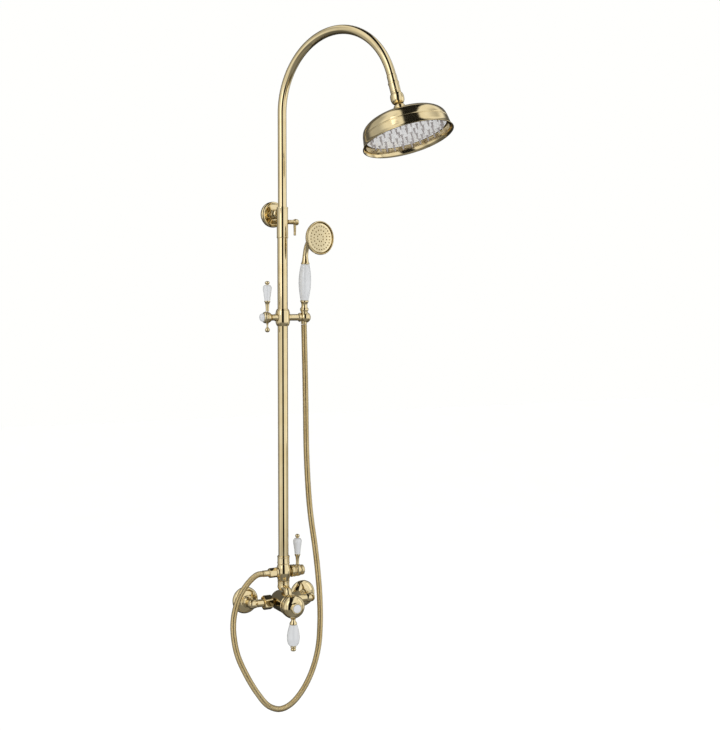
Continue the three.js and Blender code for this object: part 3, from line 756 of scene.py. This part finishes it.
def build_temperature_handle():
    dome = turned([
        (5.8, -13.8), (23.4, -13.8), (24.6, -13.2), (26.3, -10.2, 1), (27.2, -6, 1), (27.5, -2.2),
        (27.0, -1.8), (27.0, -1.2), (27.5, -0.8), (27.3, 3.2, 1), (25.8, 7.8, 1), (22.6, 12.2, 1),
        (18.4, 15.2, 1), (14.2, 16.9), (13.2, 17.6), (13.2, 21.8), (12.6, 22.6), (10.3, 22.8),
        (10.2, 14), (5.8, 14), (5.8, -13.8),
    ], HUB @ FROM_WALL, soft=0.5, sides=128)
    piece("temperature_hub_fine", "temperature_lever", gold, [dome], ["temperature_hub"])
    button = turned([
        (0, 19.4), (9.7, 19.4), (9.7, 22.9), (9.0, 24.0, 1), (7.4, 24.2), (0, 24.2),
    ], HUB @ FROM_WALL, soft=0.4, sides=96)
    piece("index_button_fine", "temperature_lever", porcelain, [button], ["index_button"])
    ferrule = turned([
        (0, -41.6), (8.5, -41.6), (8.9, -41.0), (8.9, -39.8), (8.2, -37.6, 1), (6.4, -34.4, 1),
        (4.7, -31.6, 1), (4.2, -30.2), (5.6, -29.9), (6.2, -29.2, 1), (6.2, -28.6, 1), (5.6, -27.9),
        (0, -27.9),
    ], HUB, soft=0.3)
    piece("temperature_lever_ferrule_fine", "temperature_lever", gold, [ferrule],
          ["temperature_lever_ferrule"])
    handle = turned([
        (0, -91.6), (7.4, -91.6), (10.2, -90.2, 1), (12.9, -85.6, 1), (14.5, -78, 1),
        (14.8, -70.6, 1), (13.9, -62, 1), (12.1, -53, 1), (10.1, -45.6, 1), (8.7, -42), (0, -42),
    ], HUB, soft=0.8, sides=96)
    piece("temperature_lever_handle_fine", "temperature_lever", porcelain, [handle],
          ["temperature_lever_handle"])
    finial = turned([
        (0, -105), (2.4, -104.9, 1), (5.2, -103.6, 1), (6.4, -101.4, 1), (5.8, -99, 1),
        (4.6, -98.0), (4.6, -97.4), (6.2, -96.4), (6.7, -95.6, 1), (6.7, -93.8, 1), (6.0, -92.9),
        (5.2, -92), (0, -92),
    ], HUB, soft=0.3)
    piece("temperature_lever_finial_fine", "temperature_lever", gold, [finial],
          ["temperature_lever_finial"])


# ---- Diverter -----------------------------------------------------------------------------------


def build_diverter():
    along = DIVERTER @ ALONG_X
    barrel = turned([
        (0, -26), (11, -26), (11, -20.9), (13.4, -20.8), (13.9, -19.8), (14.5, -16.2, 1),
        (16.2, -10, 1), (17.4, -3.4, 1), (17.6, 0, 1), (17.4, 3.4, 1), (16.2, 10, 1), (14.6, 15.6),
        (13.9, 16.6), (13.6, 19.4), (12, 19.4), (12, 26), (0, 26),
    ], DIVERTER, soft=0.4, sides=96)
    outlet = turned([
        (0, -34.4), (8.7, -34.4), (8.7, -20.4), (11.2, -20.4), (11.7, -19.6), (11.7, -16.4),
        (12.6, -14), (12.6, -8), (0, -8),
    ], along, soft=0.4)
    waterway = turned([(0, -27), (8, -27), (8, 27), (0, 27)], DIVERTER, 0, 48)
    chamber = turned([(0, -6), (9.8, -6), (9.8, 18.4), (0, 18.4)], along, 0, 48)
    bore = turned([(0, -36), (6, -36), (6, 0), (0, 0)], along, 0, 48)
    piece("diverter_body_fine", "root", gold, [barrel, outlet], ["diverter_body"],
          cuts=[waterway, chamber, bore])
    coupling = turned([
        (12.4, 19.7), (14.4, 19.7), (14.8, 20.2), (14.8, 22.0), (14.2, 22.7), (14.2, 34.6),
        (14.8, 35.3), (14.8, 37.4), (14.2, 38), (12.4, 38), (12.4, 19.7),
    ], DIVERTER, soft=0.35, sides=96)
    piece("riser_coupling_fine", "root", gold, [coupling], ["riser_coupling"])
    bonnet = turned([
        (9.9, 17.9), (12.8, 17.9), (14.4, 18.7, 1), (14.8, 20.2, 1), (14.6, 21.8), (13.4, 22.6),
        (13.4, 25.2), (14.4, 25.8), (14.7, 26.8, 1), (14.5, 28.2, 1), (13.4, 29.4), (12.4, 29.6),
        (4.7, 29.6), (4.7, 26), (9.9, 26), (9.9, 17.9),
    ], along, soft=0.3)
    piece("diverter_bonnet_fine", "root", gold, [bonnet], ["diverter_bonnet"])
    knob = turned([
        (4.7, 30), (10.6, 30), (12.6, 30.9, 1), (13.8, 33, 1), (14.2, 36.2, 1), (14.0, 38.8, 1),
        (13.0, 41.6, 1), (11.4, 43.4), (4.7, 43.4), (4.7, 30),
    ], along, soft=0.4, sides=80)
    piece("diverter_knob_fine", "diverter_lever", gold, [knob], ["diverter_knob"])
    cap = turned([
        (0, 43.7), (11.2, 43.7), (12.0, 44.6, 1), (12.2, 46.2), (11.8, 46.6), (11.8, 47.1),
        (12.2, 47.5), (12.0, 49.2, 1), (10.8, 51, 1), (8, 51.8, 1), (4, 52.2, 1), (0, 52.3),
    ], along, soft=0.3, sides=80)
    piece("diverter_knob_cap_fine", "diverter_lever", gold, [cap], ["diverter_knob_cap"])
    build_rising_lever("diverter_lever", DIVERTER, 36.4, 13.9, (38.4, 77, 87))


def build_rising_lever(name, place, x, knob_top, heights):
    """The flared stem, porcelain handle and ball of a lever that stands up beside its knob."""
    stem_top, handle_top, finial_top = heights
    place = place @ at(x, 0, 0)
    low = knob_top + GAP
    stem = turned([
        (0, low), (4.6, low), (3.9, low + 1.2, 1), (3.7, low + 3.6, 1), (4.0, stem_top - 14, 1),
        (4.6, stem_top - 8, 1), (5.9, stem_top - 3.6, 1), (6.7, stem_top - 2.4),
        (7, stem_top - 1.8), (7, stem_top), (0, stem_top),
    ], place, soft=0.3, sides=48)
    piece(f"{name}_stem_fine", name, gold, [stem], [f"{name}_stem"])
    low = stem_top + GAP
    tall = handle_top - low
    handle = turned([
        (0, low), (6.4, low), (6.9, low + 0.1 * tall, 1), (7.8, low + 0.32 * tall, 1),
        (9.1, low + 0.56 * tall, 1), (10.1, low + 0.74 * tall, 1), (10.1, low + 0.84 * tall, 1),
        (8.7, low + 0.93 * tall, 1), (6.2, low + 0.985 * tall, 1), (4.4, handle_top),
        (0, handle_top),
    ], place, soft=0.5, sides=72)
    piece(f"{name}_handle_fine", name, porcelain, [handle], [f"{name}_handle"])
    low = handle_top + GAP
    middle = (handle_top + finial_top) / 2
    finial = turned([
        (0, low), (3.4, low), (3.4, low + 0.5), (2.7, low + 0.9), (2.9, middle - 3.4),
        (4.6, middle - 2.2, 1), (5.4, middle, 1), (4.7, middle + 2.6, 1),
        (2.8, finial_top - 0.9, 1), (0, finial_top),
    ], place, soft=0.2, sides=48)
    piece(f"{name}_finial_fine", name, gold, [finial], [f"{name}_finial"])


# ---- Riser and bracket --------------------------------------------------------------------------


def build_riser():
    foot, top = DIVERTER_Z + 26.3, COLLAR_TOP - 26
    riser = turned([
        (LOWER_BORE_R, foot), (LOWER_TUBE_R, foot), (LOWER_TUBE_R, top), (LOWER_BORE_R, top),
        (LOWER_BORE_R, foot),
    ], at(0, -RISER_OUT, 0), soft=0.3, sides=96)
    piece("lower_riser_tube_fine", "root", gold, [riser], ["lower_riser_tube"])

    sleeve = turned([
        (0, COLLAR_BOTTOM), (12.9, COLLAR_BOTTOM), (13.4, COLLAR_BOTTOM + 0.6),
        (13.4, COLLAR_BOTTOM + 3.0), (13.1, COLLAR_BOTTOM + 3.4), (13.1, COLLAR_TOP - 3.4),
        (13.4, COLLAR_TOP - 3.0), (13.4, COLLAR_TOP - 0.6), (12.9, COLLAR_TOP), (0, COLLAR_TOP),
    ], at(0, -RISER_OUT, 0), soft=0.25, sides=96)
    arm = turned([
        (0, 20), (4.5, 20), (4.5, 11), (9.5, 11), (9.5, 13.2), (11.2, 13.4), (11.7, 14.2, 1),
        (11.7, 18.8, 1), (11.2, 20), (10, 20.5), (9.8, 22.6), (10.6, 23.2), (10.8, 24.2),
        (10.8, 32.4), (10.0, 33.8, 1), (8.6, 35.2), (8.6, RISER_OUT), (0, RISER_OUT),
    ], at(0, 0, BRACKET_Z) @ FROM_WALL, soft=0.35)
    bore = turned([
        (0, COLLAR_BOTTOM - 1), (12.35, COLLAR_BOTTOM - 1), (12.35, COLLAR_TOP - 3.4),
        (10.7, COLLAR_TOP - 3.4), (10.7, COLLAR_TOP + 1), (0, COLLAR_TOP + 1),
    ], at(0, -RISER_OUT, 0), soft=0, sides=96)
    hole = turned([(0, 5), (3.8, 5), (3.8, 20), (0, 20)], at(0, -RISER_OUT, LOCK_Z) @ ALONG_X, 0,
                  48)
    piece("riser_bracket_fine", "root", gold, [sleeve, arm], ["riser_bracket"], cuts=[bore, hole])

    flange = turned([
        (4.4, 0), (29.6, 0), (30.5, 1.0), (30.5, 6.0, 1), (29.6, 8.4, 1), (27.4, 9.8, 1),
        (24.2, 10.3), (23.4, 10.0), (14, 10.4), (13.6, 10.7), (4.4, 10.7), (4.4, 0),
    ], at(0, 0, BRACKET_Z) @ FROM_WALL, soft=0.5, sides=96)
    piece("bracket_wall_flange_fine", "root", gold, [flange], ["bracket_wall_flange"])

    lock = at(0, -RISER_OUT, LOCK_Z) @ ALONG_X
    screw = turned([
        (0, 12.7), (3.1, 12.7), (3.1, 14), (4.8, 14.1), (5.2, 14.6), (5.2, 17.2), (4.8, 17.6),
        (4.8, 18.2), (5.2, 18.6), (5.2, 26.8), (4.6, 27.4), (4.6, 28.6), (6.3, 29.0),
        (7.2, 30.4, 1), (7.5, 33.6, 1), (7.1, 37.6, 1), (5.6, 40, 1), (2.8, 40.9, 1), (0, 41),
    ], lock, soft=0.25, sides=56)
    pin = turned([
        (0, -31), (2.1, -30.9), (3.0, -30.2, 1), (3.0, -27.6), (2.7, -27.2), (3.0, -18), (3.4, -4),
        (0, -4),
    ], at(31.8, -RISER_OUT, LOCK_Z), soft=0.2, sides=40)
    piece("lock_screw_fine", "lock_screw", gold, [screw, pin], ["lock_screw"])


def build_arm():
    start = COLLAR_TOP - TUBE_INSERTION
    sweep = math.radians(180 - ARC_END)
    line = [Vector((0, 0, start)), Vector((0, 0, COLLAR_TOP)), Vector((0, 0, ARC_Z - 60))]
    steps = 110
    for i in range(steps + 1):
        angle = math.pi - sweep * i / steps
        out = ARC_R + ARC_R * math.cos(angle)
        line.append(Vector((0, -out, ARC_Z + ARC_RISE * math.sin(angle))))
    line = [RISER @ p for p in line]
    pipe_out = tube(line, UPPER_TUBE_R, 64, ends=False)
    pipe_in = tube(line, UPPER_BORE_R, 64, ends=False)
    piece("gooseneck_tube_fine", "upper_riser", gold, [pipe_walls(pipe_out, pipe_in, 64)],
          ["gooseneck_tube"])

    sleeve = turned([
        (0, -43.5), (10.2, -43.5), (11.3, -42.9), (11.5, -42.2), (11.5, -40.4), (11.1, -40.0),
        (11.1, -39.2), (11.5, -38.8), (11.5, -21.2), (12.1, -20.6), (12.2, -19.9, 1),
        (12.2, -18.1, 1), (12.1, -17.4), (11.4, -17.0), (10.9, -16.2), (10.9, -2.0), (10.4, -GAP),
        (0, -GAP),
    ], SPOUT, soft=0.3, sides=80)
    towards = turn_about("Z", -54 + 180)
    screw_hole = turned([(0, 8.5), (1.6, 8.5), (1.6, 14), (0, 14)],
                        SPOUT @ at(0, 0, -35) @ towards @ turn_about("X", -90), 0, 24)
    piece("arm_end_sleeve_fine", "upper_riser", gold, [sleeve], ["arm_end_sleeve"],
          cuts=[screw_hole])
    nut = turned([
        (5.4, -66), (10.2, -66), (11.6, -65.0, 1), (13.8, -61.4, 1), (15.0, -56.4, 1),
        (15.1, -52.4, 1), (14.6, -47.4, 1), (13.4, -44.4), (12.4, -43.8), (5.4, -43.8), (5.4, -66),
    ], SPOUT, soft=0.4, sides=80)
    piece("swivel_nut_fine", "upper_riser", gold, [nut], ["swivel_nut"])


def pipe_walls(outer, inner, sides):
    """A pipe from two open tubes that share a line: both walls, closed at the ends."""
    points = outer[0] + inner[0]
    off = len(outer[0])
    faces = list(outer[1]) + [tuple(off + i for i in reversed(f)) for f in inner[1]]
    last = off - sides
    for k in range(sides):
        n = (k + 1) % sides
        faces.append((k, off + k, off + n, n))
        faces.append((last + n, last + off + n, last + off + k, last + k))
    return points, faces


# ---- Rose ---------------------------------------------------------------------------------------

NOZZLE_RINGS = [(18, 5), (38, 10), (58, 16), (79, 25)]  # radius and number of nozzles


def build_rose():
    bell = turned([
        (9.7, 6.8), (11.0, 6.9), (12.2, 5.4, 1), (13.4, 0.6, 1), (13.3, -2.2), (14, -4, 1),
        (17, -6.8, 1), (24, -10, 1), (42, -15, 1), (60, -18, 1), (74, -22, 1), (84, -27.5, 1),
        (90.5, -34.5, 1), (93.6, -43, 1), (94.6, -48.6), (94.0, -49.4), (94.1, -50.6),
        (95.0, -51.4), (96.2, -59, 1), (97.4, -65.4, 1), (98.8, -69, 1), (100.7, -71), (101, -71.6),
        (101, -72.2), (100.4, -72.6), (98.8, -72.6), (96.6, -69.6, 1), (95.0, -64.5, 1),
        (92.8, -50), (91.2, -43.6), (88.2, -36.6), (82.2, -30.2), (73, -24.8), (59.6, -20.7),
        (42, -17.7), (18, -12.6), (10.4, -10.8), (10.4, -5.2), (11.7, -4.9), (11.7, 4.2),
        (9.7, 6.8),
    ], BALL, soft=0.4, sides=160)
    piece("rose_bell_fine", "rose", gold_bell, [bell], ["rose_bell"])
    plate = turned([
        (0, -PLATE_DROP - 1.6), (84, -PLATE_DROP - 1.6), (85, -PLATE_DROP - 1.0),
        (87.4, -PLATE_DROP - 1.0), (88.4, -PLATE_DROP - 2.2), (89.6, -PLATE_DROP - 2.2),
        (90.3, -PLATE_DROP - 1.2), (90.3, -PLATE_DROP + 1.2), (0, -PLATE_DROP + 1.2),
    ], BALL, soft=0.3, sides=128)
    piece("rose_plate_fine", "rose", silicone_plate, [plate], ["rose_nozzle_plate"], sharp=40)
    nozzles = []
    for radius, count in NOZZLE_RINGS:
        for i in range(count):
            angle = 2 * math.pi * i / count
            place = BALL @ at(radius * math.cos(angle), radius * math.sin(angle), -PLATE_DROP)
            nozzles.append(turned([
                (0, -13.2), (0.55, -13.2), (0.7, -14), (1.2, -13.9), (1.4, -13.0), (1.9, -7, 1),
                (2.5, -3.0, 1), (3.2, -1.58), (3.2, -1.1), (0, -1.1),
            ], place, soft=0.15, sides=14))
    # The nozzles' darker tone is painted shade; nozzles and plate are one silicone piece.
    piece("rose_nozzles_fine", "rose", silicone, [together(nozzles)], ["rose_nozzle_plate"],
          sharp=40)


# ---- Slider, clamp and holder -------------------------------------------------------------------


def build_slider():
    along = SLIDER @ ALONG_X
    barrel = turned([
        (0, -20.2), (12.9, -20.2), (13.8, -19.6), (14.2, -18.2), (15.3, -16.6, 1), (16.7, -11, 1),
        (17.25, -4, 1), (17.3, 0, 1), (17.25, 4, 1), (16.7, 11, 1), (15.3, 16.6, 1), (14.2, 18.2),
        (13.8, 19.6), (12.9, 20.2), (0, 20.2),
    ], SLIDER, soft=0.3, sides=96)
    bar = turned([
        (0, -28.6), (6.8, -28.6), (7.4, -28.0), (7.4, -20.6), (8.6, -19.4), (8.8, -16.4),
        (8.8, -12), (0, -12),
    ], along, soft=0.3)
    boss = turned([
        (0, 12), (8.6, 12), (8.6, 17.6), (7.7, 18.8), (7.7, 38.6), (8.6, 40.6, 1), (10.2, 42.2),
        (10.7, 42.8), (10.7, 43.9), (10.3, 44.3), (0, 44.3),
    ], along, soft=0.3)
    bore = turned([
        (0, -21), (12.65, -21), (12.65, -15.6), (14.3, -15.6), (14.3, 15.6), (12.65, 15.6),
        (12.65, 21), (0, 21),
    ], SLIDER, soft=0, sides=96)
    spindle = turned([(0, -30), (3.8, -30), (3.8, -10), (0, -10)], along, 0, 40)
    piece("slider_body_fine", "slider", gold, [barrel, bar, boss], ["slider_body"],
          cuts=[bore, spindle])

    wheel = turned([
        (0, -49), (9.0, -49), (11.4, -48.4, 1), (13.0, -46.4, 1), (13.6, -43.6, 1), (13.2, -42.2),
        (12.4, -41.7), (12.4, -41.2), (13.2, -40.7), (13.4, -39.6, 1), (12.8, -36.6, 1),
        (11.0, -33, 1), (9.2, -31.0, 1), (8.2, -29.6), (7.8, -29), (3.4, -29), (3.4, -14.9),
        (0, -14.9),
    ], along, soft=0.3)
    counter = turned([
        (0, -34.6), (2.6, -34.1, 1), (5.0, -31.8, 1), (5.6, -29.2, 1), (5.0, -26.6, 1),
        (3.6, -24.6), (3.4, -23.8), (2.2, -22.8), (1.9, -20.8, 1), (2.1, -17.4, 1), (3.2, -12),
        (3.2, -9), (0, -9),
    ], SLIDER @ at(-39, 0, 0), soft=0.2, sides=48)
    piece("clamp_hub_fine", "clamp_lever", gold, [wheel, counter], ["clamp_hub"])
    cap = turned([
        (0, -58), (3, -57.8, 1), (6, -56.8, 1), (8.4, -54.8, 1), (9.4, -52, 1), (9.5, -50),
        (9.2, -49.3), (0, -49.3),
    ], along, soft=0.3)
    piece("clamp_cap_fine", "clamp_lever", porcelain, [cap], ["clamp_cap"])
    build_rising_lever("clamp_lever", SLIDER, -39, 13.6, (38.6, 75.8, 85))


def build_holder():
    ball_line = [
        (BALL_R * math.cos(math.radians(a)), BALL_R * math.sin(math.radians(a)), 1)
        for a in range(-75, 90, 15)
    ]
    ball = turned([(0, -BALL_R), *ball_line, (0, BALL_R)], HOLDER, soft=0.3, sides=80)
    neck = turned([
        (0, -12.9), (7.0, -12.9), (7.5, -12.3), (7.5, -6), (0, -6),
    ], HOLDER @ ALONG_X, soft=0.3, sides=56)
    socket = turned([
        (0, -BALL_R - 1), (7.9, -BALL_R - 1), (7.9, -8), (9.8, BALL_R + 1), (0, BALL_R + 1),
    ], HOLDER @ at(SEAT_X, 0, 0), soft=0, sides=80)
    piece("holder_ball_fine", "holder", gold, [ball, neck], ["holder_ball"], cuts=[socket])


# ---- Hand shower --------------------------------------------------------------------------------


def build_handset():
    cone_top = 10.6
    cone = turned([
        (0, -5.6), (6.8, -5.6), (7.2, -5.0), (7.2, -4), (8.5, cone_top - 0.4), (8.2, cone_top),
        (0, cone_top),
    ], HANDSET, soft=0.3)
    piece("hose_cone_nut_fine", "handset", gold, [cone], ["hose_cone_nut"])
    ferrule = turned([
        (0, -16.2), (6.4, -16.2), (7.0, -15.6), (7.1, -14.8), (6.8, -14.2), (6.8, -13.4),
        (7.1, -12.9), (7.1, -6.5), (6.6, -5.9), (0, -5.9),
    ], HANDSET, soft=0.2, sides=56)
    piece("hose_upper_ferrule_fine", "handset", gold, [ferrule], ["hose_upper_ferrule"])

    base = turned([
        (0, cone_top + GAP), (8.4, cone_top + GAP), (8.6, 11.8), (8.2, 14.2), (9.3, 15.2),
        (9.9, 17.0, 1), (9.9, 20.6, 1), (9.0, 22.3), (7.9, 22.9), (7.4, 25, 1), (7.2, 28.4, 1),
        (7.6, 32, 1), (8.8, 35.6), (9.6, 36.2), (9.9, 37.0), (9.9, 39.4), (9.5, 40), (0, 40),
    ], HANDSET, soft=0.3)
    piece("handset_base_fine", "handset", gold, [base], ["handset_base"])
    handle = turned([
        (0, 40.3), (9.1, 40.3), (9.6, 42.0, 1), (11.0, 50, 1), (12.9, 62, 1), (14.2, 75, 1),
        (14.5, 85, 1), (14.0, 98, 1), (12.7, 110, 1), (10.9, 119.4, 1), (9.9, 124.0, 1), (9.4, 125),
        (0, 125),
    ], HANDSET, soft=0.5, sides=96)
    piece("handset_handle_fine", "handset", porcelain, [handle], ["handset_handle"])

    collar = turned([
        (0, 125.3), (9.8, 125.3), (10.2, 125.8), (10.2, 127.4), (9.6, 128.2), (9.0, 128.4),
        (8.2, 131.6, 1), (7.3, 136.6, 1), (6.7, 142, 1), (6.3, 147.6), (0, 148),
    ], HANDSET, soft=0.3)
    a, b, c = Vector((0, 0, 140)), Vector((0, -2, HEAD_UP - 1)), Vector((0, -HEAD_OUT - 2, HEAD_UP))
    steps = 40
    along = [i / steps for i in range(steps + 1)]
    bend = [a * (1 - t) ** 2 + b * 2 * t * (1 - t) + c * t * t for t in along]
    neck = tube([HANDSET @ p for p in bend], NECK_BEND_R, 48)
    bowl = turned([
        (0, 0), (6.4, 0), (7.6, 0.6), (10.7, 1.5, 1), (17.6, 2.9, 1), (25, 5.4, 1), (31.2, 9.0, 1),
        (35.8, 13.4, 1), (38.4, 18.4, 1), (HEAD_R, 21.6, 1), (38.8, 23.9, 1), (37.6, 24.8),
        (36.8, 24.7), (36.2, 23.4), (36.1, 18), (33.6, 14.4), (26.4, 9), (17, 5), (0, 4),
    ], HEAD, soft=0.5, sides=96)
    piece("handset_head_fine", "handset", gold, [collar, neck, bowl], ["handset_head"])

    face = turned([
        (0, 19.4), (34.8, 19.4), (35.4, 20.2), (35.4, 21.2), (34.6, 22.2), (33.0, 22.8),
        (30.5, 23.1), (0, 23.4),
    ], HEAD, soft=0.3, sides=96)
    holes = []
    for radius, count in ((27.2, 24), (18.2, 15), (8.4, 8)):
        for i in range(count):
            angle = 2 * math.pi * (i + 0.5) / count
            spot = HEAD @ at(radius * math.cos(angle), radius * math.sin(angle), 0)
            holes.append(turned([(0, 19.9), (1.6, 19.9), (1.6, 26), (0, 26)], spot, 0, 16))
    piece("handset_face_fine", "handset", gold_face, [face], ["handset_face"],
          cuts=[together(holes)], sharp=25)


# ---- Hose fittings at the diverter --------------------------------------------------------------


def build_outlet():
    along = DIVERTER @ ALONG_X
    nut = hexagon(21, -37.2, -20.7, 9.2, along)
    lip = turned([
        (8.3, -38.4), (9.2, -38.4), (9.9, -37.8), (9.9, -36.9), (8.9, -36.9), (8.3, -37.2),
        (8.3, -38.4),
    ], along, soft=0.15)
    piece("hose_nut_fine", "root", gold, [nut, lip], ["hose_nut"])
    ferrule = turned([
        (0, -53.4), (6.9, -53.4), (7.5, -52.8), (7.7, -51.8), (7.3, -51.0), (7.3, -50.2),
        (7.7, -49.6), (7.7, -36.7), (8.5, -36.7), (8.5, -34.8), (0, -34.8),
    ], along, soft=0.2, sides=56)
    piece("hose_lower_ferrule_fine", "root", gold, [ferrule], ["hose_lower_ferrule"])


build_inlet("right", Matrix.Identity(4))
build_inlet("left", MIRROR_X)
build_valve()
build_temperature_handle()
build_diverter()
build_outlet()
build_riser()
build_arm()
build_rose()
build_slider()
build_holder()
build_handset()
build_hose()

# The inner pieces keep their CAD shapes, with a finish of their own.
KEPT = {
    "thermostatic_cartridge": brass, "diverter_cartridge": brass, "handle_screw": brass,
    "bracket_stud": brass, "swivel_ball": brass, "riser_bush": nylon, "slider_bush": nylon,
    "ball_seat": nylon, "rose_gasket": rubber,
}
for name, material in KEPT.items():
    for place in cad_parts[name].material_slots:
        place.material = material
